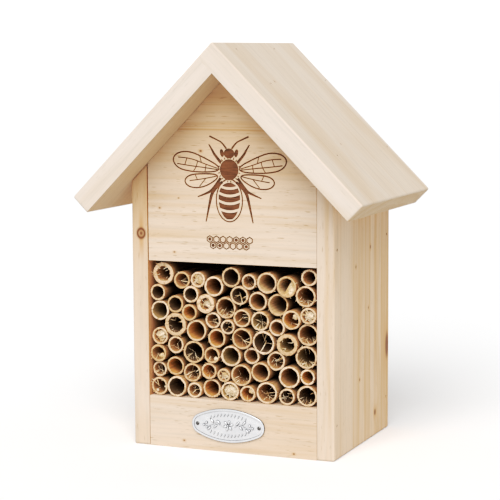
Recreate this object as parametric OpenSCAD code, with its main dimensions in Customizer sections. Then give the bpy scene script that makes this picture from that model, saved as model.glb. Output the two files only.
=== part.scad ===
// Insect hotel: a small gabled cabinet of pine boards, packed with hollow reeds.
// Origin: on the ground, under the middle of the whole object.
// +X is the right-hand side seen from the front, +Y goes to the back, +Z is up.

/* [Cabinet] */
// Width across both side panels
body_w = 124; // [100:1:160]
// Depth of the side panels, front to back
body_d = 97; // [80:1:140]
// Height of the outer face of a side panel
side_h = 154; // [130:1:200]
// Thickness of the side panels
side_t = 10; // [7:0.5:14]
// Thickness of the gable board, the sill board and the back panel
board_t = 10; // [7:0.5:14]
// Thickness of the floor and ceiling boards
shelf_t = 9; // [6:0.5:12]
// Height of the sill board, level with the top of the floor
sill_h = 29.5; // [26:0.5:45]
// Height of the open front, from the sill board to the gable board
opening_h = 79; // [50:1:100]
// Gap between the left side panel and the gable board
gable_gap = 0.6; // [0.2:0.1:1]
// Gap beside every other board that fits between the side panels
fit_gap = 0.2; // [0.1:0.05:0.4]

/* [Roof] */
// Thickness of the roof boards
roof_t = 12; // [9:0.5:16]
// How far the underside of the roof reaches past a side panel
eave_reach = 16.5; // [5:0.5:30]
// How far the roof reaches past the front of the cabinet
roof_front = 24; // [5:1:40]

/* [Reeds] */
// Wall thickness of a reed
reed_wall = 1.1; // [0.8:0.1:1.6]
// Gap between a reed and what it lies on
reed_gap = 0.1; // [0.05:0.05:0.3]
// Least distance of the reed ends behind the front of the cabinet
reed_recess = 1; // [0.5:0.5:5]
// How much further back a reed end may lie
reed_stagger = 3; // [0:0.5:6]

/* [Fasteners] */
// Length of a nail
nail_l = 25; // [20:1:30]
// Diameter of a nail's shank
nail_d = 1.2; // [1:0.1:1.6]
// Diameter of a nail's head
nail_head_d = 1.8; // [1.7:0.1:3]
// Thickness of a nail's head
nail_head_t = 0.8; // [0.5:0.1:1.2]
// Depth of a nail's head below the surface
nail_set = 0.8; // [0.2:0.1:1.5]
// Distance of the side nails from the upper and lower edges of the open front
side_nail_edge = 10; // [6:0.5:14]
// Distance of the upper roof nails from the ridge, down the slope
roof_nail_upper = 33; // [26:1:45]
// Distance of the lower roof nails from the outer face of the side panel below
roof_nail_in = 8; // [3:0.5:9]
// Distance of the first ridge nail from the front edge of the roof
ridge_nail_first = 25; // [10:1:30]
// Distance between the two ridge nails
ridge_nail_step = 56; // [20:1:60]
// Distance between the two nails in the back edge of each inner board
shelf_nail_step = 60; // [30:1:70]

/* [Nameplate] */
// Width of the oval plate
plate_w = 45; // [30:1:60]
// Height of the oval plate
plate_h = 19.5; // [14:0.5:22]
// Thickness of the plate inside its rim
plate_t = 0.6; // [0.4:0.1:1.2]
// Height of the rim above the plate
plate_rim_t = 0.5; // [0.3:0.1:1]
// Width of the rim
plate_rim_w = 1.1; // [0.8:0.1:2]
// Radius of the plate's two ends
plate_end_r = 6; // [4:0.5:7]
// Place of the plate's middle, to the right of the cabinet's middle
plate_x = -2; // [-10:0.5:10]
// Height of the plate's middle above the ground
plate_z = 15.5; // [11:0.5:18]
// Distance of each pin from the end of the plate
pin_inset = 3.4; // [2.8:0.1:5]
// Length of a plate pin under its head
pin_l = 8; // [5:0.5:9]
// Diameter of a plate pin
pin_d = 1.3; // [1:0.1:1.6]
// Diameter of a plate pin's head
pin_head_d = 2.4; // [2:0.1:3]

/* [Hanger] */
// Width of the keyhole plate
hanger_w = 16; // [14:1:22]
// Height of the keyhole plate
hanger_h = 44; // [40:1:50]
// Thickness of the keyhole plate
hanger_t = 1.5; // [1:0.1:2.5]
// Height of the keyhole's round end above the ground
keyhole_z = 170; // [150:1:172]
// Radius of the keyhole's round end
keyhole_r = 4.5; // [3.5:0.5:5]
// Width of the keyhole's slot
keyhole_slot_w = 4.4; // [3:0.2:5]
// Length of the slot, from the middle of the round end
keyhole_slot_l = 11; // [8:0.5:12]
// Depth of the pocket behind the keyhole
keyhole_pocket_t = 5; // [3:0.5:5.5]
// Length of a hanger screw
screw_l = 9; // [6:0.5:9]
// Diameter of a hanger screw
screw_d = 2.8; // [2.2:0.1:3.2]
// Diameter of a hanger screw's countersunk head
screw_head_d = 5.6; // [5:0.1:6.5]

/* [Hidden] */

$fn = 64;
cut = 1;                                      // how far a cutter runs past a face
inner_w = body_w - 2 * side_t;
front_y = (roof_front - body_d) / 2;          // front face of the cabinet
back_y = front_y + body_d;                    // back face of the cabinet and the roof
roof_y = front_y - roof_front;                // front face of the roof
ceiling_z = sill_h + opening_h;               // underside of the ceiling and the gable board
inner_ridge_z = side_h + body_w / 2;          // the roof boards meet here underneath
ridge_z = inner_ridge_z + roof_t * sqrt(2);
slope_l = (body_w / 2 + eave_reach) * sqrt(2) + roof_t;
pine = "#efdcc0";
steel = "#b9bcc0";

// Each reed as [place across the open front, outer diameter], in the order that they were laid.
// Every course lies on the ones before it.
laid_w = 104;                                 // the width that the places are given for
laid_h = 79;                                  // the height that the diameters are given for
reed_share = min(inner_w / laid_w, opening_h / laid_h);   // thinner reeds fill a smaller opening
LAID = [
    [[-24, 9], [33, 9.5], [-14, 11], [-47, 10.5], [9, 9.5], [-2, 11], [21, 12.5], [45, 12], [-35, 12]],
    [[-6, 8], [-47, 9], [-15, 9.5], [5, 12.5], [34, 12.5], [45, 9], [-26, 11], [17, 11.5]],
    [[-37, 11], [-13, 9.5], [26, 11], [-47, 10], [11, 9.5], [-1, 12], [-25, 13], [44, 13]],
    [[-36, 10], [33, 12.5], [-10, 11], [19, 13.5], [6, 12.5], [-46, 10], [-23, 12.5], [45, 12.5]],
    [[-36, 13.5], [-3, 8.5], [27, 9.5], [-13, 9.5], [17, 11], [36, 11], [6, 10.5]],
    [[-46, 11.5], [-27, 9.5], [46, 9.5], [-5, 12.5], [-36, 10], [-17, 11], [27, 12.5]],
    [[15, 11], [-47, 9.5], [-26, 9.5], [4, 11], [44, 12], [-12, 11.5], [33, 12]],
    [[21, 12], [-32, 10], [10, 9], [-44, 13], [-22, 9], [46, 9.5], [-1, 11.5]]
];

// Every reed as [x, z of its axis, radius, course], each dropped until it lies on another.
function lift(x, r, reed) =
    let (reach = r + reed[2] + reed_gap, across = abs(x - reed[0]))
    across < reach ? reed[1] + sqrt(reach * reach - across * across) : 0;
function rest_z(x, r, pile) = max([sill_h + r + reed_gap, for (reed = pile) lift(x, r, reed)]);
function dropped(place, course, pile) =
    let (
        r = reed_share * place[1] / 2,
        reach = inner_w / 2 - r - reed_gap,
        x = max(-reach, min(reach, place[0] * inner_w / laid_w))
    )
    [x, rest_z(x, r, pile), r, course];
function laid(places, course, pile, i = 0) =
    i == len(places) ? pile :
    let (reed = dropped(places[i], course, pile), fits = reed[1] + reed[2] < ceiling_z)
    laid(places, course, fits ? concat(pile, [reed]) : pile, i + 1);
function piled(course = 0, pile = []) =
    course == len(LAID) ? pile : piled(course + 1, laid(LAID[course], course + 1, pile));
REEDS = piled();
RECESS = rands(reed_recess, reed_recess + reed_stagger, len(REEDS), 7);

// ---- shared shapes ----

// A board that stands upright across the cabinet: its outline is given from the front.
module upright(y, t) {
    translate([0, y + t, 0]) rotate([90, 0, 0]) linear_extrude(t) children();
}

// The outline under the roof, from one x to another and from a height up.
module gable_outline(x_left, x_right, z) {
    polygon([
        [x_left, z], [x_right, z], [x_right, inner_ridge_z - abs(x_right)],
        if (x_left * x_right < 0) [0, inner_ridge_z],
        [x_left, inner_ridge_z - abs(x_left)]
    ]);
}

// Head up and set a little below the surface at z = 0, point down.
module nail() {
    tip = 2;
    translate([0, 0, -nail_set - nail_head_t]) cylinder(h = nail_head_t, d = nail_head_d);
    translate([0, 0, tip - nail_l]) cylinder(h = nail_l - tip - nail_set, d = nail_d);
    translate([0, 0, -nail_l]) cylinder(h = tip, d1 = 0.2, d2 = nail_d);
}

// What a nail takes out of a board: its own shape, and the small hole above its head.
module nail_hole() {
    nail();
    translate([0, 0, -nail_set]) cylinder(h = nail_set + cut, d = nail_head_d);
}

// Puts a nail or a board on the right-hand slope: x runs down it, z stands out of it.
module on_right_slope() {
    translate([0, 0, ridge_z]) rotate([0, 45, 0]) children();
}

module screw() {
    translate([0, 0, -hanger_t]) cylinder(h = hanger_t, d1 = screw_d, d2 = screw_head_d);
    translate([0, 0, -screw_l]) cylinder(h = screw_l, d = screw_d);
}

// An oval of four arcs: two flat ones above and below, two small ones at the ends.
module oval(w, h, end_r, t) {
    reach = w / 2 - end_r;
    side_r = (reach * reach + h * h / 4 - end_r * end_r) / (2 * (h / 2 - end_r));
    meet_x = reach * side_r / (side_r - end_r);
    linear_extrude(t) {
        for (side = [-1, 1]) translate([side * reach, 0]) circle(end_r);
        intersection() {
            translate([0, h / 2 - side_r]) circle(side_r, $fn = 200);
            translate([0, side_r - h / 2]) circle(side_r, $fn = 200);
            square([2 * meet_x, h], center = true);
        }
    }
}

// ---- cabinet ----

module side_panel(side) {
    inner_x = side * (body_w / 2 - side_t);
    outer_x = side * body_w / 2;
    color(pine) difference() {
        upright(front_y, body_d) gable_outline(min(inner_x, outer_x), max(inner_x, outer_x), 0);
        side_nail_places(side) nail_hole();
        roof_nail_places(side) nail_hole();
    }
}

module side_panel_left() {
    side_panel(-1);
}

module side_panel_right() {
    side_panel(1);
}

module gable_board() {
    color(pine) difference() {
        upright(front_y, board_t)
            gable_outline(gable_gap - inner_w / 2, inner_w / 2 - fit_gap, ceiling_z);
        for (side = [-1, 1]) {
            side_nail_places(side) nail_hole();
            roof_nail_places(side) nail_hole();
        }
    }
}

module sill_board() {
    color(pine) difference() {
        translate([fit_gap - inner_w / 2, front_y, 0]) cube([inner_w - 2 * fit_gap, board_t, sill_h]);
        for (side = [-1, 1]) side_nail_places(side) nail_hole();
        nameplate_pins();
    }
}

// A board that lies inside, between the front boards and the back panel.
module shelf(z) {
    translate([fit_gap - inner_w / 2, front_y + board_t, z])
        cube([inner_w - 2 * fit_gap, body_d - 2 * board_t, shelf_t]);
}

module floor_board() {
    color(pine) difference() {
        shelf(sill_h - shelf_t);
        shelf_nail_places() nail_hole();
    }
}

module ceiling_board() {
    color(pine) difference() {
        shelf(ceiling_z);
        shelf_nail_places() nail_hole();
    }
}

module keyhole_outline(r, slot_w) {
    circle(r);
    translate([0, keyhole_slot_l]) circle(d = slot_w);
    translate([-slot_w / 2, 0]) square([slot_w, keyhole_slot_l]);
}

module back_panel() {
    pocket_r = keyhole_r + 1;
    color(pine) difference() {
        upright(back_y - board_t, board_t)
            gable_outline(fit_gap - inner_w / 2, inner_w / 2 - fit_gap, 0);
        for (side = [-1, 1]) {
            side_nail_places(side) nail_hole();
            roof_nail_places(side) nail_hole();
        }
        shelf_nail_places() nail_hole();
        at_keyhole() {
            hanger_blank(fit_gap, cut);
            translate([0, 0, -hanger_t - keyhole_pocket_t]) linear_extrude(keyhole_pocket_t + cut)
                keyhole_outline(pocket_r, 2 * pocket_r);
        }
        hanger_screws();
    }
}

// ---- roof ----

// The right-hand board runs up to the ridge, and the left-hand one butts against its underside.
module roof_board_right() {
    color(pine) difference() {
        on_right_slope() translate([0, roof_y, -roof_t]) cube([slope_l, body_d + roof_front, roof_t]);
        ridge_nail_places() nail_hole();
        roof_nail_places(1) nail_hole();
    }
}

module roof_board_left() {
    color(pine) difference() {
        mirror([1, 0, 0]) on_right_slope() translate([roof_t, roof_y, -roof_t])
            cube([slope_l - roof_t, body_d + roof_front, roof_t]);
        ridge_nail_places() nail_hole();
        roof_nail_places(-1) nail_hole();
    }
}

// ---- nails ----

// Through a side panel into the ends of the gable board, the sill board and the back panel.
module side_nail_places(side) {
    for (y = [front_y + board_t / 2, back_y - board_t / 2])
        for (z = [sill_h - side_nail_edge, ceiling_z + side_nail_edge])
            translate([side * body_w / 2, y, z]) rotate([0, side * 90, 0]) children();
}

// Through a roof board into the gable board, the back panel and the side panel.
module roof_nail_places(side) {
    lower = (body_w / 2 - roof_nail_in) * sqrt(2) + roof_t;
    for (y = [front_y + board_t / 2, back_y - board_t / 2])
        for (down = [roof_nail_upper, lower])
            mirror([side < 0 ? 1 : 0, 0, 0]) on_right_slope() translate([down, y, 0]) children();
}

module side_nails_left() {
    color(steel) side_nail_places(-1) nail();
}

module side_nails_right() {
    color(steel) side_nail_places(1) nail();
}

module roof_nails_left() {
    color(steel) roof_nail_places(-1) nail();
}

module roof_nails_right() {
    color(steel) roof_nail_places(1) nail();
}

// Through the right-hand roof board into the upper end of the left-hand one.
module ridge_nail_places() {
    for (i = [0, 1])
        on_right_slope()
            translate([roof_t / 2, roof_y + ridge_nail_first + i * ridge_nail_step, 0]) children();
}

// Through the back panel into the back edges of the floor and ceiling boards.
module shelf_nail_places() {
    for (side = [-1, 1])
        for (z = [sill_h - shelf_t / 2, ceiling_z + shelf_t / 2])
            translate([side * shelf_nail_step / 2, back_y, z]) rotate([-90, 0, 0]) children();
}

module ridge_nails() {
    color(steel) ridge_nail_places() nail();
}

module shelf_nails() {
    color(steel) shelf_nail_places() nail();
}

// ---- nameplate ----

// Face up at the middle of the plate's back, which lies against the sill board.
module at_nameplate() {
    translate([plate_x, front_y, plate_z]) rotate([90, 0, 0]) children();
}

module nameplate() {
    color("#dfe1e4") difference() {
        at_nameplate() difference() {
            oval(plate_w, plate_h, plate_end_r, plate_t + plate_rim_t);
            translate([0, 0, plate_t])
                oval(plate_w - 2 * plate_rim_w, plate_h - 2 * plate_rim_w,
                     plate_end_r - plate_rim_w, plate_rim_t + cut);
        }
        nameplate_pins();
    }
}

module nameplate_pins() {
    head_t = 0.7;
    color(steel) at_nameplate() for (side = [-1, 1])
        translate([side * (plate_w / 2 - pin_inset), 0, plate_t]) {
            cylinder(h = head_t, d1 = pin_head_d, d2 = pin_d);
            translate([0, 0, -pin_l]) cylinder(h = pin_l + head_t, d = pin_d);
        }
}

// ---- hanger ----

// Face up at the keyhole's round end, in the back face of the cabinet, with y upwards.
module at_keyhole() {
    translate([0, back_y, keyhole_z]) rotate([90, 0, 180]) children();
}

// The keyhole plate's outline, sunk into the back panel; grow widens it, rise lifts its face.
module hanger_blank(grow, rise) {
    middle = keyhole_slot_l / 2;
    translate([-hanger_w / 2 - grow, middle - hanger_h / 2 - grow, -hanger_t])
        cube([hanger_w + 2 * grow, hanger_h + 2 * grow, hanger_t + rise]);
}

module hanger_plate() {
    color(steel) difference() {
        at_keyhole() difference() {
            hanger_blank(0, 0);
            translate([0, 0, -hanger_t - cut]) linear_extrude(hanger_t + 2 * cut)
                keyhole_outline(keyhole_r, keyhole_slot_w);
        }
        hanger_screws();
    }
}

module hanger_screws() {
    edge = 5;
    color(steel) at_keyhole() for (side = [-1, 1])
        translate([0, keyhole_slot_l / 2 + side * (hanger_h / 2 - edge), 0]) screw();
}

// ---- reeds ----

module reed(index) {
    x = REEDS[index][0];
    z = REEDS[index][1];
    r = REEDS[index][2];
    start_y = front_y + RECESS[index];
    translate([x, back_y - board_t, z]) rotate([90, 0, 0]) difference() {
        cylinder(h = back_y - board_t - start_y, r = r);
        translate([0, 0, -cut])
            cylinder(h = back_y - board_t - start_y + 2 * cut, r = r - reed_wall);
    }
}

module reed_course(course) {
    color("#d8b27a") for (i = [0 : len(REEDS) - 1]) if (REEDS[i][3] == course) reed(i);
}

side_panel_left();
side_panel_right();
gable_board();
sill_board();
floor_board();
ceiling_board();
back_panel();
roof_board_left();
roof_board_right();
nameplate();
nameplate_pins();
hanger_plate();
hanger_screws();
ridge_nails();
roof_nails_left();
roof_nails_right();
side_nails_left();
side_nails_right();
shelf_nails();
reed_course(1);  // reed_course_1
reed_course(2);  // reed_course_2
reed_course(3);  // reed_course_3
reed_course(4);  // reed_course_4
reed_course(5);  // reed_course_5
reed_course(6);  // reed_course_6
reed_course(7);  // reed_course_7
reed_course(8);  // reed_course_8
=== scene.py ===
# Insect hotel: a pine cabinet with a gable roof, packed with hollow reeds.
# Everything is in metres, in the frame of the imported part: +X right, +Y back, +Z up.
import math
import random

import bmesh
import bpy
from mathutils import Matrix, Vector, noise


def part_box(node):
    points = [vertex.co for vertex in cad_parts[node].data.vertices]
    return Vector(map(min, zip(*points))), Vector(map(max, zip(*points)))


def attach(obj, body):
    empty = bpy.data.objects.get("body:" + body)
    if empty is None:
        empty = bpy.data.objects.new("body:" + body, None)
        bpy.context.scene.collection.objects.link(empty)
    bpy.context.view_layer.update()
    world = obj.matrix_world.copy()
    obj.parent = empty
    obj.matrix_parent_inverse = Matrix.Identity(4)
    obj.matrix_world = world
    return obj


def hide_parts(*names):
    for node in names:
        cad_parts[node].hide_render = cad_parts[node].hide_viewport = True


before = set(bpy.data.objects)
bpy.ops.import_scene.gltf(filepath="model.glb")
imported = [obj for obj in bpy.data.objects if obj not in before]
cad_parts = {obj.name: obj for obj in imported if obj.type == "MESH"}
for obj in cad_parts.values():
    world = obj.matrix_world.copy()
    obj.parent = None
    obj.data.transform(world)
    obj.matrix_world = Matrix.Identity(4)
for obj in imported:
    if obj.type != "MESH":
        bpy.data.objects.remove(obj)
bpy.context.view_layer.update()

root2 = math.sqrt(2)
print("frame loaded,", len(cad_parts), "nodes")


view = {
    "place": (0.3734, -0.8931, 0.2279),
    "azimuth": 22.88,      # degrees to the right of the front
    "elevation": 6.80,
    "roll": -0.32,
    "lens": 120.27,
}
studio = {
    "sky": 0.60,           # strength of the light from all round
    "backdrop": 1.6,       # how bright the same white surroundings look
    "sunAzimuth": 12,      # degrees to the right of the front
    "sunHeight": 43,
    "sunSpread": 45,       # a broad, soft light
    "sunPower": 3.95,
    "white": 1.42,         # the light that is shown as white
    # soft highlights: how bright each amount of light is shown
    "tones": ((0.12, 0.10), (0.30, 0.30), (0.45, 0.44), (0.65, 0.58), (0.89, 0.716),
              (1.17, 0.855)),
    "floorColour": (0.99, 0.99, 0.99),
    "floorBounce": (0.66, 0.66, 0.66),  # how much light the floor sends up
    "floorReach": 12.0,
}


def newObject(name, data):
    thing = bpy.data.objects.new(name, data)
    bpy.context.scene.collection.objects.link(thing)
    return thing


def meshFrom(bm, name):
    # a bmesh made into an object, which uses it up
    mesh = bpy.data.meshes.new(name)
    bm.to_mesh(mesh)
    bm.free()
    return newObject(name, mesh)


def makeCamera():
    camera = newObject("camera", bpy.data.cameras.new("camera"))
    camera.data.lens = view["lens"]
    camera.data.sensor_width = 36
    camera.data.clip_start, camera.data.clip_end = 0.05, 30
    camera.matrix_world = (
        Matrix.Translation(view["place"])
        @ Matrix.Rotation(math.radians(view["azimuth"]), 4, "Z")
        @ Matrix.Rotation(math.radians(90 - view["elevation"]), 4, "X")
        @ Matrix.Rotation(math.radians(view["roll"]), 4, "Z")
    )
    bpy.context.scene.camera = camera


def byCameraRay(tree, unseen, seen, output):
    # one shader for the light that is sent on, and another for what the camera sees
    either = tree.nodes.new("ShaderNodeMixShader")
    path = tree.nodes.new("ShaderNodeLightPath")
    tree.links.new(path.outputs["Is Camera Ray"], either.inputs[0])
    tree.links.new(unseen.outputs[0], either.inputs[1])
    tree.links.new(seen.outputs[0], either.inputs[2])
    tree.links.new(either.outputs[0], tree.nodes[output].inputs[0])


def makeStudio():
    scene = bpy.context.scene
    scene.view_settings.view_transform = "Standard"
    scene.view_settings.use_curve_mapping = True
    tones = scene.view_settings.curve_mapping
    tones.white_level = (studio["white"],) * 3
    for light, shown in studio["tones"]:
        tones.curves[3].points.new(light / studio["white"], shown)
    tones.update()
    world = bpy.data.worlds.new("studio")
    scene.world = world
    world.use_nodes = True
    tree = world.node_tree
    sky, backdrop = tree.nodes["Background"], tree.nodes.new("ShaderNodeBackground")
    for node, strength in ((sky, "sky"), (backdrop, "backdrop")):
        node.inputs["Color"].default_value = (1, 1, 1, 1)
        node.inputs["Strength"].default_value = studio[strength]
    byCameraRay(tree, sky, backdrop, "World Output")
    sun = newObject("softSun", bpy.data.lights.new("softSun", "SUN"))
    sun.data.energy = studio["sunPower"]
    sun.data.angle = math.radians(studio["sunSpread"])
    sun.rotation_euler = (math.radians(90 - studio["sunHeight"]), 0,
                          math.radians(studio["sunAzimuth"]))
    bm = bmesh.new()
    bmesh.ops.create_grid(bm, x_segments=1, y_segments=1, size=studio["floorReach"])
    floor = meshFrom(bm, "floor")
    paint = bpy.data.materials.new("studioFloor")
    paint.use_nodes = True
    tree = paint.node_tree
    matt = [tree.nodes.new("ShaderNodeBsdfDiffuse") for _ in range(2)]
    for node, colour in zip(matt, ("floorBounce", "floorColour")):
        node.inputs["Color"].default_value = (*studio[colour], 1)
    byCameraRay(tree, *matt, "Material Output")
    floor.data.materials.append(paint)


makeCamera()
makeStudio()
print("camera and studio made")


class Nodes:
    # A short way to lay out a material's nodes.
    def __init__(self, name):
        self.material = bpy.data.materials.new(name)
        self.material.use_nodes = True
        self.tree = self.material.node_tree
        self.shader = self.tree.nodes["Principled BSDF"]

    def put(self, socket, value):
        if isinstance(value, bpy.types.NodeSocket):
            self.tree.links.new(value, socket)
        elif isinstance(value, (tuple, list)) and socket.type == "RGBA" and len(value) == 3:
            socket.default_value = (*value, 1)
        else:
            socket.default_value = value

    def add(self, kind, inputs, output=0, **settings):
        made = self.tree.nodes.new(kind)
        for key, value in settings.items():
            setattr(made, key, value)
        for key, value in inputs.items():
            self.put(made.inputs[key], value)
        return made.outputs[output]

    def maths(self, operation, *values):
        return self.add("ShaderNodeMath", dict(enumerate(values)), operation=operation)

    def times(self, first, second):
        return self.maths("MULTIPLY", first, second)

    def minus(self, first, second):
        return self.maths("SUBTRACT", first, second)

    def swayed(self, value, pattern, amount):
        # a value pushed up and down by a pattern
        return self.maths("MULTIPLY_ADD", self.minus(pattern, 0.5), amount, value)

    def distance(self, x, y):
        return self.maths("SQRT", self.maths("ADD", self.times(x, x), self.times(y, y)))

    def place(self):
        return self.add("ShaderNodeTexCoord", {}, "Object")

    def facing(self, direction):
        # 1 where a face looks in the direction, and 0 where it looks across it
        return self.dot(self.add("ShaderNodeTexCoord", {}, "Normal"), tuple(direction))

    def dot(self, vector, axis):
        return self.add("ShaderNodeVectorMath", {0: vector, 1: axis}, "Value",
                        operation="DOT_PRODUCT")

    def join(self, x, y, z):
        return self.add("ShaderNodeCombineXYZ", {0: x, 1: y, 2: z})

    def stretch(self, vector, scale, offset=(0, 0, 0)):
        return self.add("ShaderNodeMapping", {"Vector": vector, "Scale": scale,
                                              "Location": offset})

    def cloud(self, vector, detail=2.0, roughness=0.5):
        return self.add("ShaderNodeTexNoise", {
            "Vector": vector, "Scale": 1.0, "Detail": detail, "Roughness": roughness}, "Fac")

    def span(self, value, low, high, outLow=0.0, outHigh=1.0, smooth=True):
        return self.add("ShaderNodeMapRange", {
            "Value": value, "From Min": low, "From Max": high, "To Min": outLow,
            "To Max": outHigh},
            interpolation_type="SMOOTHSTEP" if smooth else "LINEAR")

    def mix(self, share, first, second, blend="MIX"):
        made = self.tree.nodes.new("ShaderNodeMix")
        made.data_type, made.blend_type, made.clamp_factor = "RGBA", blend, True
        self.put(made.inputs[0], share)
        self.put(made.inputs[6], first)
        self.put(made.inputs[7], second)
        return made.outputs[2]

    def ramp(self, value, stops):
        made = self.tree.nodes.new("ShaderNodeValToRGB")
        self.put(made.inputs[0], value)
        places = made.color_ramp.elements
        while len(places) < len(stops):
            places.new(0.5)
        for place, (at, colour) in zip(places, stops):
            place.position = at
            place.color = (*colour, 1) if isinstance(colour, tuple) else (colour,) * 3 + (1,)
        return made.outputs[0]

    def finish(self, colour, roughness, height, strength, depth, **fixed):
        self.put(self.shader.inputs["Base Color"], colour)
        self.put(self.shader.inputs["Roughness"], roughness)
        for key, value in fixed.items():
            self.put(self.shader.inputs[key.replace("_", " ")], value)
        bump = self.add("ShaderNodeBump", {"Strength": strength, "Distance": depth,
                                           "Height": height})
        self.put(self.shader.inputs["Normal"], bump)
        return self.material


pine = {
    "early": (0.78, 0.61, 0.45),        # pale wood between the ring lines
    "late": (0.62, 0.39, 0.20),         # darker line that ends each year's growth
    "warm": (0.73, 0.53, 0.345),        # slow drift of tone across a board
    "band": (0.66, 0.43, 0.235),        # broad orange bands along the grain
    "fleck": (0.42, 0.25, 0.12),        # short resin flecks
    "knot": (0.20, 0.085, 0.035),
    "knotHalo": (0.60, 0.34, 0.16),
    "endGrain": (0.86, 0.77, 0.64),     # what the cut ends are multiplied by
    "aged": (0.90, 0.765, 0.60),        # and the parts painted darker and more orange: painted shade on some boards, a warmer tone on others
}


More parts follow.
